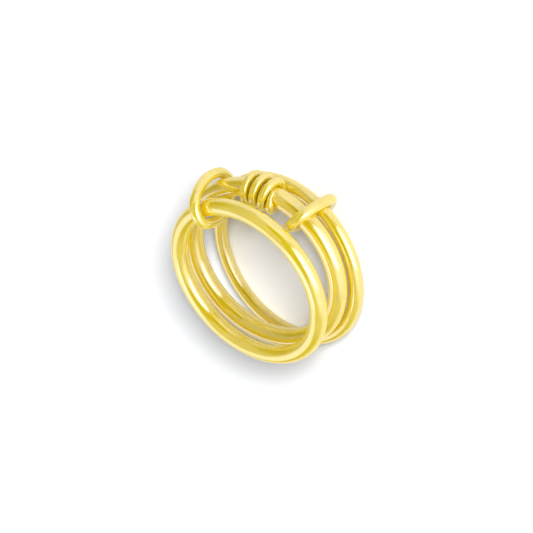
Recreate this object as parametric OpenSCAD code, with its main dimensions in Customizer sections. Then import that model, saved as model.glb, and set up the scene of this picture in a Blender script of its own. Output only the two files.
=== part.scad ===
// A finger ring of three loose round-wire bands, held side by side by two small oval links.
// A thinner wire is wound round the middle band. The ring lies on its side on a flat surface,
// with the finger hole opening upwards. Lengths are in millimetres and angles in degrees.
// Angles round the ring are counted from +X towards +Y, so the decorated side faces -Y.

/* [Bands] */
// Inner diameter of the front band, a US size 7
front_inner_d = 17.3; // [17.2:0.1:17.4]
// Wire of the front band
front_wire = 2.0; // [1.8:0.1:2.0]
// Inner diameter of the middle band
middle_inner_d = 17.1; // [17.0:0.1:17.1]
// Wire of the middle band
middle_wire = 2.2; // [2.0:0.1:2.2]
// Inner diameter of the back band
back_inner_d = 18.1; // [18.0:0.1:18.1]
// Wire of the back band
back_wire = 1.6; // [1.4:0.1:1.6]

/* [Links] */
// Wire of both links
link_wire = 1.2; // [1.0:0.05:1.2]
// Length of a link over its wire
link_l = 8.5; // [8.5:0.1:8.6]
// Width of a link over its wire
link_w = 5.8; // [5.8:0.1:5.9]
// Radius of a link's ends, on the middle of the wire
link_end_r = 1.8; // [1.75:0.01:1.85]

/* [Wire wrap] */
// Wire of the wrap
wrap_wire = 0.95; // [0.8:0.05:0.95]
// Turns of the wrap
wrap_turns = 3.4; // [2.4:0.1:3.5]
// Angle along the middle band from one turn to the next
wrap_step = 7.0; // [7.0:0.1:7.6]

/* [Hidden] */

// Shades of the polished gold
front_gold = [0.92, 0.80, 0.38];
middle_gold = [0.89, 0.76, 0.33];
back_gold = [0.86, 0.73, 0.30];
link_gold = [0.95, 0.84, 0.45];
wrap_gold = [0.94, 0.82, 0.40];

// Distance from the middle of each ring to the middle of its wire
front_r = (front_inner_d + front_wire) / 2;
middle_r = (middle_inner_d + middle_wire) / 2;
back_r = (back_inner_d + back_wire) / 2;

// Places of the other two bands, seen from the front band's own middle
middle_at = [0.37, 0, -3.46];
middle_lean = [4.8, -0.4, 0];
back_at = [-0.95, 0, -6.25];
back_lean = [1.7, 5.4, 0];

// How the whole ring leans where it comes to rest, and where its front band's middle then is
rest_lean = [-7.9, -5.0, 0];
rest_at = [-0.66, 1.3, 8.11];

// Place of each link: angle round the ring, distance out and height, then how it is turned and leaned
front_link_angle = -15.5;
front_link_out = 9.88;
front_link_z = -1.83;
front_link_turn = -6.6;
front_link_lean = -5.6;
front_link_roll = -9;
back_link_angle = -83;
back_link_out = 9.59;
back_link_z = -5.39;
back_link_turn = 5;
back_link_lean = 22;
back_link_roll = -5;

// Steps round a band and round its wire in the quick view
band_steps = 120;
wire_steps = 36;
// Sides and rings of the swept wires
link_sides = 16;
link_arc_steps = 14;
wrap_sides = 12;
wrap_rings_a_turn = 30;

// An oval link is four arcs, each meeting the next at a tangent
link_end_x = (link_l - link_wire) / 2 - link_end_r;
link_half_w = (link_w - link_wire) / 2;
link_side_r = (link_end_x ^ 2 + link_half_w ^ 2 - link_end_r ^ 2) / (2 * (link_half_w - link_end_r));
link_side_y = link_side_r - link_half_w;
link_end_sweep = 2 * atan2(link_side_y, link_end_x);
link_side_sweep = 180 - link_end_sweep;

// Points along an arc in the XY plane, without its last one
function arc_points(middle, r, from, sweep, steps) =
    [for (i = [0 : steps - 1]) let (a = from + sweep * i / steps) middle + r * outward(a)];
link_half = concat(
    arc_points([link_end_x, 0, 0], link_end_r, -link_end_sweep / 2, link_end_sweep, link_arc_steps),
    arc_points([0, -link_side_y, 0], link_side_r, link_end_sweep / 2, link_side_sweep, link_arc_steps)
);
link_path = concat(link_half, [for (p = link_half) -p]);

// The wrap runs clear of the band that it is wound on by a hair's breadth
wrap_gap = 0.04;
wrap_from = -63.9;
wrap_first_turn = 32;
// Rounding of the wrap's cut ends. Columns: distance from the end and size, both by the wire's radius
wrap_ends = [[0, 0.55], [0.1, 0.75], [0.35, 0.93], [0.8, 1]];
// The wrap's first end is drawn out thin. Columns: distance from that end, and thickness against the whole wire
wrap_tail = [[0, 0.5], [2.3, 0.6], [3.2, 0.82], [4.1, 1]];
// How far along the band the thin end leans over to the next turn, for a whole wire's thickness lost
wrap_tail_lean = 5.6;

// Length of the wrap's middle line
wrap_turn_l = sqrt((PI * (middle_wire + 2 * wrap_gap + wrap_wire)) ^ 2 + (middle_r * wrap_step * PI / 180) ^ 2);
wrap_l = wrap_turns * wrap_turn_l;

// Size of the wrap's wire at a share t of its length, against the whole wire
function wrap_distance(t) = t * wrap_l / (wrap_wire / 2);
function wrap_thinning(t) = lookup(wrap_distance(t), wrap_tail);
function wrap_size(t) = wrap_thinning(t) * lookup(wrap_distance(min(t, 1 - t)), wrap_ends);

// A place on the wrap's middle line, in the middle band's frame, at a share t of its length
function wrap_angle(t) = wrap_from + wrap_step * wrap_turns * t + wrap_tail_lean * (1 - wrap_thinning(t));
function wrap_swing(t) = wrap_first_turn + 360 * wrap_turns * t;
function wrap_r(t) = middle_wire / 2 + wrap_gap + wrap_thinning(t) * wrap_wire / 2;
function outward(angle) = [cos(angle), sin(angle), 0];
function wrap_away(t) = cos(wrap_swing(t)) * outward(wrap_angle(t)) + [0, 0, sin(wrap_swing(t))];
function wrap_point(t) = middle_r * outward(wrap_angle(t)) + wrap_r(t) * wrap_away(t);

// Shares of the length at which the wrap has a ring of points, close together at its rounded ends
wrap_rings = round(wrap_turns * wrap_rings_a_turn);
end_shares = [for (end = wrap_ends) end[0] * wrap_wire / 2 / wrap_l];
wrap_first = max(end_shares);
wrap_shares = concat(
    [for (share = end_shares) share],
    [for (i = [1 : wrap_rings - 1]) wrap_first + (1 - 2 * wrap_first) * i / wrap_rings],
    [for (i = [len(end_shares) - 1 : -1 : 0]) 1 - end_shares[i]]
);

function unit(v) = v / norm(v);

// Points round a wire's middle line, in the plane across it, the first towards a given side
function across(middle, along, towards, r, sides) =
    let (up = unit(towards - (towards * along) * along), side = cross(along, up))
    [for (k = [0 : sides - 1]) let (a = 360 * k / sides) middle + r * (cos(a) * up + sin(a) * side)];

// A wire swept along a path, either a closed loop or with a flat face at each end
module swept_wire(path, towards, sizes, wire, sides, closed) {
    n = len(path);
    walls_n = closed ? n : n - 1;
    points = [
        for (i = [0 : n - 1])
            let (next = closed ? (i + 1) % n : min(i + 1, n - 1))
            let (before = closed ? (i + n - 1) % n : max(i - 1, 0))
            each across(path[i], unit(path[next] - path[before]), towards[i], sizes[i] * wire / 2, sides)
    ];
    walls = [
        for (i = [0 : walls_n - 1], k = [0 : sides - 1])
            let (a = i * sides, b = ((i + 1) % n) * sides, next = (k + 1) % sides)
            [a + k, b + k, b + next, a + next]
    ];
    first_end = [for (k = [0 : sides - 1]) k];
    last_end = [for (k = [sides - 1 : -1 : 0]) (n - 1) * sides + k];
    polyhedron(points = points, faces = closed ? walls : concat([first_end], walls, [last_end]));
}

// A torus: a round wire bent into a closed ring about Z
module wire_ring(ring_r, wire) {
    rotate_extrude($fn = band_steps) translate([ring_r, 0]) circle(d = wire, $fn = wire_steps);
}

// An oval link where it hangs on the bands, long along the ring's axis before it is turned and leaned
module link_at(angle, out, z, turn, lean, roll) {
    rotate([0, 0, angle])
        translate([out, 0, z])
            rotate([-turn, 0, 0])
                rotate([0, lean, 0])
                    rotate([0, 0, roll])
                        rotate([90, 0, 0])
                            rotate([0, 0, 90])
                                swept_wire(link_path, [for (p = link_path) [0, 0, 1]], [for (p = link_path) 1],
                                           link_wire, link_sides, true);
}

// The whole ring leans to rest on the surface
module at_rest() {
    translate(rest_at) rotate(rest_lean) children();
}

module front_band() {
    color(front_gold) at_rest() wire_ring(front_r, front_wire);
}

module middle_band() {
    color(middle_gold) at_rest()
        translate(middle_at) rotate(middle_lean) wire_ring(middle_r, middle_wire);
}

module back_band() {
    color(back_gold) at_rest()
        translate(back_at) rotate(back_lean) wire_ring(back_r, back_wire);
}

module wire_wrap() {
    color(wrap_gold) at_rest()
        translate(middle_at) rotate(middle_lean)
            swept_wire([for (t = wrap_shares) wrap_point(t)], [for (t = wrap_shares) wrap_away(t)],
                       [for (t = wrap_shares) wrap_size(t)], wrap_wire, wrap_sides, false);
}

module front_link() {
    color(link_gold) at_rest()
        link_at(front_link_angle, front_link_out, front_link_z,
                front_link_turn, front_link_lean, front_link_roll);
}

module back_link() {
    color(link_gold) at_rest()
        link_at(back_link_angle, back_link_out, back_link_z,
                back_link_turn, back_link_lean, back_link_roll);
}

front_band();
middle_band();
back_band();
wire_wrap();
front_link();
back_link();
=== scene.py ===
"""A finger ring of three loose gold bands, held by two oval links, with a wire wound round its middle band.

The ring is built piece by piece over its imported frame. Each piece is shaped in millimetres in a frame of its
own, and is scaled to metres when it is laid in its place. Angles are in degrees where nothing else is said.
"""

import logging
import math
from dataclasses import dataclass
from enum import Enum

import bpy
from mathutils import Matrix, Vector


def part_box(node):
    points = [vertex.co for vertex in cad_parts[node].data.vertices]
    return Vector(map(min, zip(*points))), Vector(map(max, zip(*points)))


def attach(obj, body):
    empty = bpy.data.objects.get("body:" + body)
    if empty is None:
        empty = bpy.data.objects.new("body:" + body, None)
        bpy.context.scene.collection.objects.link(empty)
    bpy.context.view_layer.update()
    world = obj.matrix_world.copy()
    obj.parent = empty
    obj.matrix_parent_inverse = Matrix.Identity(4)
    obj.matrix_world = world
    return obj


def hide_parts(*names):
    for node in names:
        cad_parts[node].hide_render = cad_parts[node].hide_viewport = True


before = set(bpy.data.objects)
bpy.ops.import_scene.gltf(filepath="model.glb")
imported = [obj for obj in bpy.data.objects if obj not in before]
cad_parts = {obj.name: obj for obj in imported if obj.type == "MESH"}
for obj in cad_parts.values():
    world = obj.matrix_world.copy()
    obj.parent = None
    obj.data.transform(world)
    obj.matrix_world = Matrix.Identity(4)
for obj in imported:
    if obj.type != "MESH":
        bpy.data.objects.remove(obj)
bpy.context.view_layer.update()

MM = 0.001
BODY = "root"
LOG = logging.getLogger("finger_ring")

Triple = tuple[float, float, float]
Profile = tuple[tuple[float, float], ...]
# For each point of a wire, its place along the wire and its direction round the wire
Course = tuple[list[Vector], list[Vector]]

# The attributes that a wire's course is kept in
RUN = "wire_run"
ROUND = "wire_round"

# The widest angle between two faces that are shaded as one smooth surface
SMOOTH_ANGLE = 50.0
QUARTER_TURN = 90.0
WHOLE_TURN = 360.0


class Slot(Enum):
    """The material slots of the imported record."""

    BAND = "gold_band"
    WIRE = "gold_wire"


class Way(Enum):
    """The two ways that a group's socket can face."""

    IN = "INPUT"
    OUT = "OUTPUT"


def turn(angle: float, axis: str) -> Matrix:
    """Returns the turn by an angle about one axis."""
    return Matrix.Rotation(math.radians(angle), 4, axis)


@dataclass(frozen=True)
class Place:
    """Where a piece's own frame lies in its parent's frame.

    Attributes:
        at: How far it is moved, in millimetres.
        lean: How it is turned about X, then Y, then Z.
    """

    at: Triple = (0.0, 0.0, 0.0)
    lean: Triple = (0.0, 0.0, 0.0)

    def matrix(self) -> Matrix:
        """Works out the placing.

        Returns:
            The placing as one matrix, in millimetres.
        """
        turned = Matrix.Identity(4)
        for angle, axis in zip(self.lean, "XYZ"):
            turned = turn(angle, axis) @ turned
        return Matrix.Translation(self.at) @ turned


# How the whole ring lies on the floor, and where two bands stand from the middle of the front band
RESTING = Place(at=(-0.66, 1.3, 8.11), lean=(-7.9, -5.0, 0.0))
MIDDLE_PLACE = Place(at=(0.37, 0.0, -3.46), lean=(4.8, -0.4, 0.0))
BACK_PLACE = Place(at=(-0.95, 0.0, -6.25), lean=(1.7, 5.4, 0.0))


def read_profile(profile: Profile, place: float) -> float:
    """Reads a value between the rows of a short table.

    Args:
        profile: Rows of a place and the value there, with the places rising.
        place: Where to read it.

    Returns:
        The value, which past the table's ends is that of its first or last row.
    """
    for (before, low), (after, high) in zip(profile, profile[1:]):
        if place <= after:
            return low + (high - low) * max(place - before, 0.0) / (after - before)
    return profile[-1][1]


def deselect() -> None:
    """Leaves object mode's selection empty, so that an operator acts only on what is added next."""
    bpy.ops.object.select_all(action="DESELECT")


def add_section(wire: float, sides: int, middle: Triple) -> bpy.types.Object:
    """Adds the round section of a wire, upright across a path that starts towards +Y.

    Args:
        wire: Diameter of the wire.
        sides: Number of points round it.
        middle: Place of its middle.

    Returns:
        The new object, alone in the selection, with its place in its mesh.
    """
    deselect()
    bpy.ops.mesh.primitive_circle_add(
        vertices=sides,
        radius=wire / 2,
        location=middle,
        rotation=(math.radians(QUARTER_TURN), 0.0, 0.0),
    )
    bpy.ops.object.transform_apply(location=True, rotation=True, scale=True)
    return bpy.context.object


def close_wire(join: float = 1e-4) -> None:
    """Joins the first and last section of a wire in edit mode, and turns its faces outwards.

    Args:
        join: Distance under which two points become one.
    """
    bpy.ops.mesh.select_all(action="SELECT")
    bpy.ops.mesh.remove_doubles(threshold=join)
    bpy.ops.mesh.normals_make_consistent(inside=False)
    bpy.ops.object.mode_set(mode="OBJECT")


def soften_by_hand(
    piece: bpy.types.Object, depth: float, width: float, finer: int = 1, level: float = 0.5
) -> None:
    """Gives drawn wire the slight unevenness of hand forming.

    Args:
        piece: The wire, alone in the selection.
        depth: Greatest difference in its surface.
        width: Length of one swell.
        finer: How many times the swells are broken up by finer ones.
        level: Share of the swells' range that leaves the surface where it was.
    """
    swell = bpy.data.textures.new(f"{piece.name}_swell", "CLOUDS")
    swell.noise_scale = width
    swell.noise_depth = finer
    modifier = piece.modifiers.new("swell", "DISPLACE")
    modifier.texture = swell
    modifier.strength = depth
    modifier.mid_level = level
    bpy.ops.object.modifier_apply(modifier=modifier.name)


def keep_course(piece: bpy.types.Object, course: Course) -> None:
    """Keeps a wire's course on its points, where the polishing lines read it.

    Args:
        piece: The wire.
        course: Its course, in millimetres. A closed wire's places along it lie on a circle.
    """
    for name, values in zip((RUN, ROUND), course):
        layer = piece.data.attributes.new(name, "FLOAT_VECTOR", "POINT")
        layer.data.foreach_set("vector", [x for value in values for x in value])


def lay_in_place(piece: bpy.types.Object, place: Matrix) -> None:
    """Scales a piece to metres and moves it to its place on the resting ring, with the place in its mesh.

    Args:
        piece: The finished piece, in millimetres.
        place: Its place in the front band's frame.
    """
    deselect()
    piece.select_set(True)
    bpy.context.view_layer.objects.active = piece
    piece.matrix_world = Matrix.Scale(MM, 4) @ RESTING.matrix() @ place
    bpy.ops.object.transform_apply(location=True, rotation=True, scale=True)
    bpy.ops.object.shade_smooth_by_angle(angle=math.radians(SMOOTH_ANGLE))


def distance_from_node(piece: bpy.types.Object, node: str) -> float:
    """Measures how far a piece's box is from its node's box.

    Args:
        piece: The piece, in its place.
        node: The frame's node.

    Returns:
        The greatest distance between two of their sides, in metres.
    """
    low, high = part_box(node)
    points = [piece.matrix_world @ vertex.co for vertex in piece.data.vertices]
    greatest = 0.0
    for axis in range(3):
        along = [point[axis] for point in points]
        greatest = max(greatest, abs(min(along) - low[axis]), abs(max(along) - high[axis]))
    return greatest


def hand_over(piece: bpy.types.Object, node: str, material: bpy.types.Material) -> None:
    """Dresses a piece and lets it stand for its node of the frame.

    Args:
        piece: The piece, in its place.
        node: The frame's node that it replaces.
        material: Its finish.
    """
    piece.name = f"{node}_polished"
    piece.data.materials.append(material)
    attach(piece, BODY)
    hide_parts(node)
    faces = len(piece.data.polygons)
    apart = distance_from_node(piece, node) / MM
    LOG.info("%s: %d faces, box within %.3f mm of its node", piece.name, faces, apart)


def set_inputs(node: bpy.types.Node, values: dict[str | int, object]) -> None:
    """Sets the values of a node's own inputs, each found by its name or its number."""
    for name, value in values.items():
        node.inputs[name].default_value = value


class Wiring:
    """The nodes of one shader tree, with short ways to add and link them."""

    def __init__(self, tree: bpy.types.NodeTree) -> None:
        """Takes up a tree.

        Args:
            tree: The tree of a material, of the surroundings or of a group.
        """
        self.tree = tree

    def node(
        self, kind: str, values: dict[str | int, object] | None = None, **settings: object
    ) -> bpy.types.ShaderNode:
        """Adds a node.

        Args:
            kind: The node's type, without its prefix.
            values: The values of its own inputs, by name or number.
            **settings: Its options.

        Returns:
            The new node.
        """
        made = self.tree.nodes.new(f"ShaderNode{kind}")
        for name, setting in settings.items():
            setattr(made, name, setting)
        set_inputs(made, values or {})
        return made

    def link(self, source: bpy.types.NodeSocket, target: bpy.types.NodeSocket) -> None:
        """Links one socket to another."""
        self.tree.links.new(source, target)


class Group(Wiring):
    """A shader node group under construction."""

    def __init__(self, name: str) -> None:
        """Starts an empty group.

        Args:
            name: The group's name.
        """
        super().__init__(bpy.data.node_groups.new(name, "ShaderNodeTree"))
        self.start = self.tree.nodes.new("NodeGroupInput")
        self.end = self.tree.nodes.new("NodeGroupOutput")

    def socket(self, name: str, way: Way, value: float | None = None) -> None:
        """Adds a named input or output that carries a number.

        Args:
            name: The socket's name.
            way: Whether it leads in or out.
            value: The value that an input has by itself.
        """
        made = self.tree.interface.new_socket(
            name=name, in_out=way.value, socket_type="NodeSocketFloat"
        )
        if value is not None:
            made.default_value = value


def polishing_lines(count: float = 14.0, stretch: float = 0.5, detail: float = 4.0) -> bpy.types.NodeTree:
    """Builds the group that draws the fine lines which a polishing wheel leaves along a wire.

    Args:
        count: How fine the lines are round the wire.
        stretch: How soon they change along the wire.
        detail: How far they are broken up by finer ones.

    Returns:
        The group, with inputs Count and Stretch, and output Lines, from 0 to 1.
    """
    group = Group("polishing_lines")
    group.socket("Count", Way.IN, count)
    group.socket("Stretch", Way.IN, stretch)
    group.socket("Lines", Way.OUT)
    across = group.node("Attribute", attribute_name=ROUND)
    fine = group.node("VectorMath", operation="SCALE")
    group.link(across.outputs["Vector"], fine.inputs[0])
    group.link(group.start.outputs["Count"], fine.inputs["Scale"])
    run = group.node("Attribute", attribute_name=RUN)
    slow = group.node("VectorMath", operation="SCALE")
    group.link(run.outputs["Vector"], slow.inputs[0])
    group.link(group.start.outputs["Stretch"], slow.inputs["Scale"])
    # The direction round the wire fills two of the noise's four dimensions, and the place along it the rest
    slow_parts = group.node("SeparateXYZ")
    group.link(slow.outputs["Vector"], slow_parts.inputs[0])
    lift = group.node("CombineXYZ")
    group.link(slow_parts.outputs["X"], lift.inputs["Z"])
    place = group.node("VectorMath", operation="ADD")
    group.link(fine.outputs["Vector"], place.inputs[0])
    group.link(lift.outputs["Vector"], place.inputs[1])
    noise = group.node("TexNoise", {"Scale": 1.0, "Detail": detail}, noise_dimensions="4D")
    group.link(place.outputs["Vector"], noise.inputs["Vector"])
    group.link(slow_parts.outputs["Y"], noise.inputs["W"])
    group.link(noise.outputs["Fac"], group.end.inputs["Lines"])
    return group.tree


def soft_clouds(
    patches: float = 400.0, detail: float = 2.0, low: float = 0.3, high: float = 0.7
) -> bpy.types.NodeTree:
    """Builds the group that gives a broad, soft variation over the metal.

    Args:
        patches: How many patches there are to a metre.
        detail: How far they are broken up by finer ones.
        low: Reading of the noise that becomes 0.
        high: Reading of the noise that becomes 1.

    Returns:
        The group, with input Patches and output Cloud, from 0 to 1.
    """
    group = Group("soft_clouds")
    group.socket("Patches", Way.IN, patches)
    group.socket("Cloud", Way.OUT)
    where = group.node("TexCoord")
    noise = group.node("TexNoise", {"Detail": detail})
    group.link(where.outputs["Object"], noise.inputs["Vector"])
    group.link(group.start.outputs["Patches"], noise.inputs["Scale"])
    wide = group.node("MapRange", {"From Min": low, "From Max": high})
    group.link(noise.outputs["Fac"], wide.inputs["Value"])
    group.link(wide.outputs["Result"], group.end.inputs["Cloud"])
    return group.tree


@dataclass(frozen=True)
class PolishedGold:
    """A polished gold finish: a clear, hard gloss over a softer yellow that is partly metallic.

    Attributes:
        name: Name of the material.
        pale: Its lighter shade.
        deep: Its deeper shade.
        clean: Reading of the polishing lines up to which the gold is polished best.
        marked: Reading from which the wheel left most lines.
        smooth: Roughness of the gold where it is polished best.
        dull: Roughness of the gold where the wheel left most lines.
        line_depth: Depth of the polishing lines, in metres.
        metal: How far the gold under the gloss is plain metal, and not a soft, even yellow.
        gloss: Weight of the gloss where the gold is polished best.
        streaked: Weight of the gloss where the wheel left most lines.
        gloss_blur: Roughness of the gloss.
        gloss_ior: Refractive index of the gloss, which sets how strongly it mirrors.
    """

    name: str
    pale: Triple = (0.91, 0.69, 0.01)
    deep: Triple = (0.86, 0.64, 0.0)
    clean: float = 0.35
    marked: float = 0.65
    smooth: float = 0.5
    dull: float = 0.6
    line_depth: float = 1.5e-6
    metal: float = 0.22
    gloss: float = 1.0
    streaked: float = 0.9
    gloss_blur: float = 0.03
    gloss_ior: float = 3.5

    def material(self, lines: bpy.types.NodeTree, clouds: bpy.types.NodeTree) -> bpy.types.Material:
        """Builds the material.

        Args:
            lines: The group of polishing lines.
            clouds: The group of soft variation.

        Returns:
            The material.
        """
        made = bpy.data.materials.new(self.name)
        made.use_nodes = True
        wiring = Wiring(made.node_tree)
        shader = made.node_tree.nodes["Principled BSDF"]
        constants = {
            "Metallic": self.metal,
            "Specular IOR Level": 0.0,
            "Coat Roughness": self.gloss_blur,
            "Coat IOR": self.gloss_ior,
        }
        set_inputs(shader, constants)
        cloud = wiring.node("Group", node_tree=clouds)
        line = wiring.node("Group", node_tree=lines)
        shades = {"A": (*self.pale, 1.0), "B": (*self.deep, 1.0)}
        tint = wiring.node("Mix", shades, data_type="RGBA")
        wiring.link(cloud.outputs["Cloud"], tint.inputs["Factor"])
        wiring.link(tint.outputs["Result"], shader.inputs["Base Color"])
        for target, best, worst in (
            ("Roughness", self.smooth, self.dull),
            ("Coat Weight", self.gloss, self.streaked),
        ):
            ends = {"From Min": self.clean, "From Max": self.marked, "To Min": best, "To Max": worst}
            between = wiring.node("MapRange", ends)
            wiring.link(line.outputs["Lines"], between.inputs["Value"])
            wiring.link(between.outputs["Result"], shader.inputs[target])
        bump = wiring.node("Bump", {"Distance": self.line_depth})
        wiring.link(line.outputs["Lines"], bump.inputs["Height"])
        wiring.link(bump.outputs["Normal"], shader.inputs["Normal"])
        return made


@dataclass(frozen=True)
class Band:
    """A closed ring of round wire.

    Attributes:
        node: The frame's node.
        inner_d: Inner diameter.
        wire: Diameter of its wire.
        place: Its place in the front band's frame.
        turns: Sections round the ring.
        sides: Points round the wire.
        swell_depth: Greatest unevenness of its surface.
        swell_w: Length of one swell of that unevenness.
    """

    node: str
    inner_d: float
    wire: float
    place: Place
    turns: int = 288
    sides: int = 40
    swell_depth: float = 0.012
    swell_w: float = 3.0

    @property
    def ring_r(self) -> float:
        """Distance from the middle of the ring to the middle of its wire."""
        return (self.inner_d + self.wire) / 2

    def build(self) -> bpy.types.Object:
        """Spins the wire's section once round the ring.

        Returns:
            The finished piece, in its place.
        """
        piece = add_section(self.wire, self.sides, (self.ring_r, 0.0, 0.0))
        piece.name = self.node
        bpy.ops.object.mode_set(mode="EDIT")
        bpy.ops.mesh.select_all(action="SELECT")
        bpy.ops.mesh.spin(steps=self.turns, angle=math.tau, center=(0, 0, 0), axis=(0, 0, 1))
        close_wire()
        soften_by_hand(piece, self.swell_depth, self.swell_w)
        keep_course(piece, self.course(piece))
        lay_in_place(piece, self.place.matrix())
        return piece

    def course(self, piece: bpy.types.Object) -> Course:
        """Works out where each point lies along the wire and round it.

        Args:
            piece: The band in its own frame.

        Returns:
            The wire's course.
        """
        runs, rounds = [], []
        for vertex in piece.data.vertices:
            flat = vertex.co.xy
            runs.append(Vector((*flat.normalized() * self.ring_r, 0.0)))
            rounds.append(Vector((flat.length - self.ring_r, vertex.co.z, 0.0)).normalized())
        return runs, rounds


@dataclass(frozen=True)
class Link:
    """A small closed oval of round wire, made of two end arcs and two side arcs that meet at tangents.

    Attributes:
        node: The frame's node.
        angle: Angle round the ring, from +X towards +Y.
        out: Distance from the middle of the ring.
        height: Height over the front band's middle.
        turned: Turn about the direction outwards.
        lean: Lean about the direction along the band.
        roll: Roll about the ring's axis.
        wire: Diameter of its wire.
        long: Length over the wire.
        wide: Width over the wire.
        end_r: Radius of its ends.
        sides: Points round the wire.
        end_steps: Sections along an end, an even number.
        side_steps: Sections along a side.
        swell_depth: Greatest unevenness of its surface.
        swell_w: Length of one swell of that unevenness.
    """

    node: str
    angle: float
    out: float
    height: float
    turned: float
    lean: float
    roll: float
    wire: float = 1.2
    long: float = 8.5
    wide: float = 5.8
    end_r: float = 1.8
    sides: int = 32
    end_steps: int = 48
    side_steps: int = 40
    swell_depth: float = 0.012
    swell_w: float = 1.6

    @property
    def end_x(self) -> float:
        """Distance from the link's middle to the middle of its end arcs."""
        return (self.long - self.wire) / 2 - self.end_r

    @property
    def half_w(self) -> float:
        """Half of the link's width, at the middle of the wire."""
        return (self.wide - self.wire) / 2

    @property
    def side_r(self) -> float:
        """Radius of the two side arcs."""
        gap = self.half_w - self.end_r
        return (self.end_x**2 + self.half_w**2 - self.end_r**2) / (2 * gap)

    @property
    def side_y(self) -> float:
        """Distance from the link's middle to the middle of its side arcs."""
        return self.side_r - self.half_w

    @property
    def end_sweep(self) -> float:
        """Angle that an end arc turns through, in radians."""
        return 2 * math.atan2(self.side_y, self.end_x)

    def matrix(self) -> Matrix:
        """Works out how the link hangs, long along the ring's axis before it is turned and leaned.

        Returns:
            Its place in the front band's frame.
        """
        hung = turn(self.angle, "Z") @ Matrix.Translation((self.out, 0.0, self.height))
        leaned = turn(-self.turned, "X") @ turn(self.lean, "Y") @ turn(self.roll, "Z")
        return hung @ leaned @ turn(QUARTER_TURN, "X") @ turn(QUARTER_TURN, "Z")

    def build(self) -> bpy.types.Object:
        """Spins the wire's section along the four arcs in turn, from the middle of one end.

        Returns:
            The finished piece, in its place.
        """
        piece = add_section(self.wire, self.sides, (self.end_x + self.end_r, 0.0, 0.0))
        piece.name = self.node
        bpy.ops.object.mode_set(mode="EDIT")
        bpy.ops.mesh.select_all(action="SELECT")
        half_end = (self.end_sweep / 2, self.end_steps // 2)
        whole_end = (self.end_sweep, self.end_steps)
        side = (math.pi - self.end_sweep, self.side_steps)
        arcs = (
            (self.end_x, 0.0, *half_end),
            (0.0, -self.side_y, *side),
            (-self.end_x, 0.0, *whole_end),
            (0.0, self.side_y, *side),
            (self.end_x, 0.0, *half_end),
        )
        for x, y, sweep, steps in arcs:
            bpy.ops.mesh.spin(steps=steps, angle=sweep, center=(x, y, 0.0), axis=(0, 0, -1))
        close_wire()
        soften_by_hand(piece, self.swell_depth, self.swell_w)
        keep_course(piece, self.course(piece))
        lay_in_place(piece, self.matrix())
        return piece

    def course(self, piece: bpy.types.Object) -> Course:
        """Works out where each point lies along the wire and round it.

        Args:
            piece: The link in its own frame.

        Returns:
            The wire's course.
        """
        runs, rounds = [], []
        for vertex in piece.data.vertices:
            flat = vertex.co.xy
            from_end = math.atan2(flat.y, abs(flat.x) - self.end_x)
            if abs(from_end) < self.end_sweep / 2:
                middle = Vector((math.copysign(self.end_x, flat.x), 0.0))
                radius = self.end_r
            else:
                middle = Vector((0.0, -math.copysign(self.side_y, flat.y)))
                radius = self.side_r
            arm = flat - middle
            runs.append(Vector((*flat.normalized() * self.half_w, 0.0)))
            rounds.append(Vector((arm.length - radius, vertex.co.z, 0.0)).normalized())
        return runs, rounds


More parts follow.
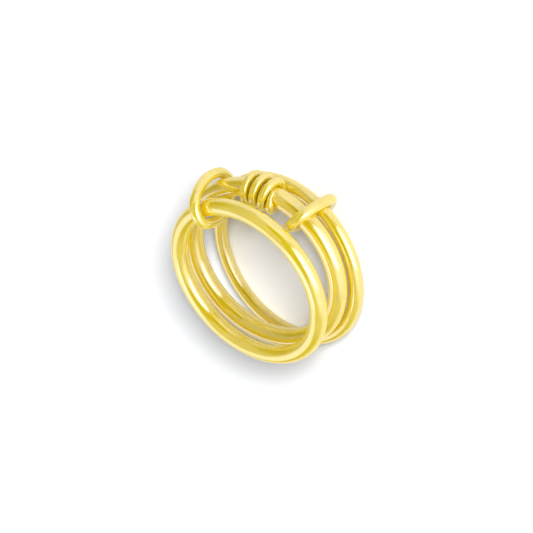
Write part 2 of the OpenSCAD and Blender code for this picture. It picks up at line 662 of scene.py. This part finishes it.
@dataclass(frozen=True)
class Wrap:
    """A thin wire wound round the middle band, with rounded ends, one of them drawn out thin.

    A share is how far along the wire a place is: 0 at the thin end and 1 at the other.

    Attributes:
        band: The band that it is wound on.
        node: The frame's node.
        wire: Diameter of its wire.
        turns: Number of turns.
        step: Angle along the band from one turn to the next.
        gap: Space between the wrap and the band.
        start: Angle round the ring where it starts.
        first_turn: Angle round the band's wire where it starts.
        tail_lean: How far along the band the thin end leans to the next turn, for a whole thickness lost.
        a_turn: Sections in a turn.
        roundness: Bevel resolution of the wire, which gives it its points round.
        feel: Share to each side of a place over which the wire's direction there is read.
        ends: Rows of a distance from a rounded tip, by the wire's radius, and the wire's size there.
        tail: Rows of a distance from the thin tip, by the wire's radius, and the wire's thickness there.
    """

    band: Band
    node: str = "wire_wrap"
    wire: float = 0.95
    turns: float = 3.4
    step: float = 7.0
    gap: float = 0.04
    start: float = -63.9
    first_turn: float = 32.0
    tail_lean: float = 5.6
    a_turn: int = 72
    roundness: int = 14
    feel: float = 1e-4
    ends: Profile = (
        (0.0, 0.5),
        (0.03, 0.62),
        (0.1, 0.75),
        (0.2, 0.85),
        (0.35, 0.93),
        (0.55, 0.98),
        (0.8, 1.0),
    )
    tail: Profile = ((0.0, 0.5), (2.3, 0.6), (3.2, 0.82), (4.1, 1.0))

    @property
    def length(self) -> float:
        """Length of the wrap's wire."""
        pitch = self.band.ring_r * math.radians(self.step)
        return self.turns * math.hypot(math.pi * (self.band.wire + 2 * self.gap + self.wire), pitch)

    def thickness(self, share: float) -> float:
        """Returns the wire's thickness at a share, against the whole wire."""
        return read_profile(self.tail, share * self.length / (self.wire / 2))

    def along(self, share: float) -> float:
        """Returns the angle round the ring at a share, in radians."""
        lean = self.tail_lean * (1 - self.thickness(share))
        return math.radians(self.start + self.step * self.turns * share + lean)

    def away(self, share: float) -> Vector:
        """Works out which side of the band the wrap is on.

        Args:
            share: The share of its length.

        Returns:
            The direction there from the middle of the band's wire to the middle of the wrap's wire.
        """
        along = self.along(share)
        swing = math.radians(self.first_turn + WHOLE_TURN * self.turns * share)
        out, up = math.cos(swing), math.sin(swing)
        return Vector((out * math.cos(along), out * math.sin(along), up))

    def point(self, share: float) -> Vector:
        """Works out where the wrap runs.

        Args:
            share: The share of its length.

        Returns:
            The middle of the wrap's wire there, in the band's frame.
        """
        along = self.along(share)
        band_point = Vector((math.cos(along), math.sin(along), 0.0)) * self.band.ring_r
        winding_r = self.band.wire / 2 + self.gap + self.thickness(share) * self.wire / 2
        return band_point + self.away(share) * winding_r

    def sections(self) -> list[tuple[float, float]]:
        """Spaces the wire's sections evenly, but close together at the rounded ends.

        Returns:
            The share and the size of each section.
        """
        tips = [(back * self.wire / 2 / self.length, size) for back, size in self.ends]
        first = tips[-1][0]
        count = round(self.turns * self.a_turn)
        body = [(first + (1 - 2 * first) * i / count, 1.0) for i in range(1, count)]
        whole = tips + body + [(1 - share, size) for share, size in reversed(tips)]
        return [(share, size * self.thickness(share)) for share, size in whole]

    def build(self) -> bpy.types.Object:
        """Lays a path along the turns and gives it the wire's thickness.

        Returns:
            The finished piece, in its place.
        """
        deselect()
        bpy.ops.curve.primitive_nurbs_path_add(location=(0.0, 0.0, 0.0))
        piece = bpy.context.object
        piece.name = self.node
        sections = self.sections()
        piece.data.splines.clear()
        path = piece.data.splines.new("POLY")
        path.points.add(len(sections) - 1)
        for point, (share, size) in zip(path.points, sections):
            point.co = (*self.point(share), 1.0)
            point.radius = size
        piece.data.bevel_depth = self.wire / 2
        piece.data.bevel_resolution = self.roundness
        piece.data.use_fill_caps = True
        bpy.ops.object.convert(target="MESH")
        piece = bpy.context.object
        bpy.ops.object.mode_set(mode="EDIT")
        close_wire()
        keep_course(piece, self.course(piece, sections))
        lay_in_place(piece, self.band.place.matrix())
        return piece

    def course(self, piece: bpy.types.Object, sections: list[tuple[float, float]]) -> Course:
        """Works out where each point lies along the wire and round it.

        Args:
            piece: The wrap in the band's frame, with its points in the order of its sections.
            sections: The sections that it was made with.

        Returns:
            The wire's course.
        """
        runs, rounds = [], []
        around = len(piece.data.vertices) // len(sections)
        for vertex in piece.data.vertices:
            share = sections[min(vertex.index // around, len(sections) - 1)][0]
            arm = vertex.co - self.point(share)
            up = self.away(share)
            along = (self.point(share + self.feel) - self.point(share - self.feel)).normalized()
            side = along.cross(up).normalized()
            runs.append(Vector((share * self.length, 0.0, 0.0)))
            rounds.append(Vector((arm.dot(up), arm.dot(side), 0.0)).normalized())
        return runs, rounds


def direction(azimuth: float, elevation: float) -> Vector:
    """Returns the unit vector towards an azimuth, counted from -Y towards +X, and an elevation."""
    a, e = math.radians(azimuth), math.radians(elevation)
    return Vector((math.sin(a) * math.cos(e), -math.cos(a) * math.cos(e), math.sin(e)))


@dataclass(frozen=True)
class Panel:
    """A round patch of the light tent that is brighter or darker than the rest.

    Attributes:
        azimuth: Where it is: 0 is on the -Y side and 90 on the +X side.
        elevation: Its height over the floor, as an angle.
        full: Angle from its middle within which it has its whole effect.
        fade: Angle from its middle at which its effect ends.
        glow: What it adds to the tent's brightness.
    """

    azimuth: float
    elevation: float
    full: float
    fade: float
    glow: float


@dataclass(frozen=True)
class LightTent:
    """The soft white tent round the ring, whose brighter and darker patches the gold mirrors.

    Attributes:
        glow: Brightness of its plain cloth, as the gold mirrors it.
        even: Brightness of the even light that it gives to all that isn't a mirror.
        tint: Colour of its light.
        panels: Its brighter and darker patches.
    """

    glow: float = 0.34
    even: float = 0.55
    tint: Triple = (0.985, 0.99, 1.0)
    panels: tuple[Panel, ...] = (
        Panel(azimuth=-33, elevation=16, full=24, fade=29, glow=2.1),
        Panel(azimuth=-55, elevation=14, full=10, fade=50, glow=0.95),
        Panel(azimuth=-158, elevation=52, full=7, fade=13, glow=1.9),
        Panel(azimuth=178, elevation=30, full=14, fade=27, glow=0.95),
        Panel(azimuth=25, elevation=3, full=8, fade=31, glow=0.75),
        Panel(azimuth=-50, elevation=67, full=16, fade=22, glow=-0.35),
        Panel(azimuth=14, elevation=48, full=12, fade=18, glow=-0.7),
        Panel(azimuth=112, elevation=12, full=12, fade=40, glow=-0.25),
        Panel(azimuth=-143, elevation=8, full=8, fade=26, glow=-0.25),
    )

    def build(self) -> None:
        """Builds the tent as the scene's surroundings."""
        world = bpy.data.worlds.new("light_tent")
        bpy.context.scene.world = world
        world.use_nodes = True
        wiring = Wiring(world.node_tree)
        background = world.node_tree.nodes["Background"]
        background.inputs["Color"].default_value = (*self.tint, 1.0)
        # No patch takes more light than there is
        lit = wiring.node("Math", {1: 0.0}, operation="MAXIMUM")
        wiring.link(self.add_panels(wiring), lit.inputs[0])
        choice = wiring.node("Mix", {"B": self.even})
        by_matt = wiring.node("LightPath").outputs["Is Diffuse Ray"]
        wiring.link(by_matt, choice.inputs["Factor"])
        wiring.link(lit.outputs["Value"], choice.inputs["A"])
        wiring.link(choice.outputs["Result"], background.inputs["Strength"])

    def add_panels(self, wiring: Wiring) -> bpy.types.NodeSocket:
        """Adds the brightness of every panel to that of the plain cloth.

        Args:
            wiring: The nodes of the surroundings.

        Returns:
            The output that gives their sum.
        """
        towards = wiring.node("TexCoord").outputs["Generated"]
        total: bpy.types.NodeSocket | None = None
        for panel in self.panels:
            middle = {1: direction(panel.azimuth, panel.elevation)}
            nearness = wiring.node("VectorMath", middle, operation="DOT_PRODUCT")
            wiring.link(towards, nearness.inputs[0])
            reach = {
                "From Min": math.cos(math.radians(panel.fade)),
                "From Max": math.cos(math.radians(panel.full)),
                "To Max": panel.glow,
            }
            effect = wiring.node("MapRange", reach, interpolation_type="SMOOTHSTEP")
            wiring.link(nearness.outputs["Value"], effect.inputs["Value"])
            sum_so_far = wiring.node("Math", {1: self.glow}, operation="ADD")
            wiring.link(effect.outputs["Result"], sum_so_far.inputs[0])
            if total is not None:
                wiring.link(total, sum_so_far.inputs[1])
            total = sum_so_far.outputs["Value"]
        return total


@dataclass(frozen=True)
class Lamp:
    """A wide, distant lamp that lights chosen things alone, and doesn't show in the gold.

    Attributes:
        name: Its name.
        azimuth: Where it is, counted as a panel's is.
        elevation: Its height over the floor, as an angle.
        spread: Its width, as an angle.
        power: Its strength.
        shadows: Whether the things in its way cast shadows.
    """

    name: str
    azimuth: float
    elevation: float
    spread: float
    power: float
    shadows: bool

    def build(self, lit: list[bpy.types.Object]) -> None:
        """Adds the lamp.

        Args:
            lit: What it lights.
        """
        deselect()
        bpy.ops.object.light_add(type="SUN")
        lamp = bpy.context.object
        lamp.name = self.name
        lamp.rotation_euler = direction(self.azimuth, self.elevation).to_track_quat("Z", "Y").to_euler()
        lamp.data.angle = math.radians(self.spread)
        lamp.data.energy = self.power
        lamp.data.use_shadow = self.shadows
        lamp.visible_glossy = False
        receivers = bpy.data.collections.new(f"lit_by_{self.name}")
        for thing in lit:
            receivers.objects.link(thing)
        lamp.light_linking.receiver_collection = receivers


@dataclass(frozen=True)
class Studio:
    """The floor, the lights and the camera.

    Attributes:
        aim: The point at the middle of the picture, in millimetres.
        azimuth: Where the camera stands, from -Y towards +X.
        elevation: Its angle over the floor.
        roll: How it is rolled about its own axis.
        view_w: Width of the picture at the ring, in millimetres.
        lens: Focal length.
        sensor: Width of the sensor.
        nearest: The nearest thing that the camera takes in, against its distance.
        farthest: The farthest thing that it takes in, against its distance.
        floor_w: Width of the floor, in metres.
        paper: Colour of the floor.
        mirrored: Share of the floor's colour that it keeps in what the gold mirrors.
        floor_gloss: Roughness of the floor in what the gold mirrors.
        tent: The light all round.
        floor_lamp: The light that makes the floor white and casts the ring's shadow on it.
        fills: The soft light on the ring, from above and from below.
    """

    aim: Triple = (-0.57, -0.51, 6.32)
    azimuth: float = -5.04
    elevation: float = 44.96
    roll: float = -123.9
    view_w: float = 59.16
    lens: float = 400.0
    sensor: float = 36.0
    nearest: float = 0.1
    farthest: float = 20.0
    floor_w: float = 6.0
    paper: Triple = (0.62, 0.625, 0.635)
    mirrored: float = 0.9
    floor_gloss: float = 0.3
    tent: LightTent = LightTent()
    floor_lamp: Lamp = Lamp("floor_lamp", azimuth=0, elevation=38, spread=20, power=6.2, shadows=True)
    fills: tuple[Lamp, ...] = (
        Lamp("fill_above", azimuth=0, elevation=90, spread=180, power=1.45, shadows=True),
        Lamp("fill_below", azimuth=0, elevation=-90, spread=180, power=0.6, shadows=False),
    )

    def build(self, pieces: list[bpy.types.Object]) -> None:
        """Builds the studio.

        Args:
            pieces: The ring's pieces.
        """
        floor = self.add_floor()
        self.tent.build()
        self.floor_lamp.build([floor])
        for fill in self.fills:
            fill.build(pieces)
        self.add_camera()

    def add_floor(self) -> bpy.types.Object:
        """Adds the plain pale floor.

        Returns:
            The floor.
        """
        deselect()
        bpy.ops.mesh.primitive_plane_add(size=self.floor_w, location=(0.0, 0.0, 0.0))
        floor = bpy.context.object
        floor.name = "pale_floor"
        floor.data.materials.append(self.floor_paper())
        return floor

    def floor_paper(self) -> bpy.types.Material:
        """Builds the floor's material, which is plain to the camera and a little darker to the gold.

        Returns:
            The material.
        """
        made = bpy.data.materials.new("pale_floor")
        made.use_nodes = True
        wiring = Wiring(made.node_tree)
        shader = made.node_tree.nodes["Principled BSDF"]
        darker = tuple(shade * self.mirrored for shade in self.paper)
        set_inputs(shader, {"Base Color": (*darker, 1.0), "Roughness": self.floor_gloss})
        seen = wiring.node("BsdfDiffuse", {"Color": (*self.paper, 1.0)})
        choice = wiring.node("MixShader")
        by_camera = wiring.node("LightPath").outputs["Is Camera Ray"]
        wiring.link(by_camera, choice.inputs["Fac"])
        wiring.link(shader.outputs["BSDF"], choice.inputs[1])
        wiring.link(seen.outputs["BSDF"], choice.inputs[2])
        surface = made.node_tree.nodes["Material Output"].inputs["Surface"]
        wiring.link(choice.outputs["Shader"], surface)
        return made

    def add_camera(self) -> None:
        """Adds the camera at the picture's angle to the ring."""
        deselect()
        bpy.ops.object.camera_add()
        camera = bpy.context.object
        camera.data.lens = self.lens
        camera.data.sensor_width = self.sensor
        back = direction(self.azimuth, self.elevation)
        distance = self.view_w * MM * self.lens / self.sensor
        stand = Matrix.Translation(Vector(self.aim) * MM + back * distance)
        level = back.to_track_quat("Z", "Y").to_matrix().to_4x4()
        camera.matrix_world = stand @ (level @ turn(self.roll, "Z"))
        camera.data.clip_start = distance * self.nearest
        camera.data.clip_end = distance * self.farthest
        bpy.context.scene.camera = camera


@dataclass(frozen=True)
class FingerRing:
    """The whole ring.

    Attributes:
        bands: The three bands, from front to back.
        links: The two links that hold them together.
        wrap: The wire that is wound round the middle band.
        band_gold: The finish of the bands.
        wire_gold: The finish of the thinner wires.
    """

    bands: tuple[Band, ...]
    links: tuple[Link, ...]
    wrap: Wrap
    band_gold: PolishedGold = PolishedGold("gold_bands")
    wire_gold: PolishedGold = PolishedGold("gold_wires", pale=(0.92, 0.71, 0.01))

    def build(self) -> list[bpy.types.Object]:
        """Builds and dresses every piece.

        Returns:
            The pieces.
        """
        lines, clouds = polishing_lines(), soft_clouds()
        band_gold = self.band_gold.material(lines, clouds)
        wire_gold = self.wire_gold.material(lines, clouds)
        pieces = []
        for band in self.bands:
            pieces.append(band.build())
            hand_over(pieces[-1], band.node, band_gold)
        for wire in (*self.links, self.wrap):
            pieces.append(wire.build())
            hand_over(pieces[-1], wire.node, wire_gold)
        return pieces


def main() -> None:
    """Builds the ring in its studio."""
    logging.basicConfig(level=logging.INFO, format="%(message)s")
    bpy.context.scene.view_settings.view_transform = "Standard"
    middle_band = Band("middle_band", inner_d=17.1, wire=2.2, place=MIDDLE_PLACE)
    ring = FingerRing(
        bands=(
            Band("front_band", inner_d=17.3, wire=2.0, place=Place()),
            middle_band,
            Band("back_band", inner_d=18.1, wire=1.6, place=BACK_PLACE),
        ),
        links=(
            Link("front_link", angle=-15.5, out=9.88, height=-1.83, turned=-6.6, lean=-5.6, roll=-9),
            Link("back_link", angle=-83, out=9.59, height=-5.39, turned=5, lean=22, roll=-5),
        ),
        wrap=Wrap(middle_band),
    )
    Studio().build(ring.build())


if __name__ == "__main__":
    main()
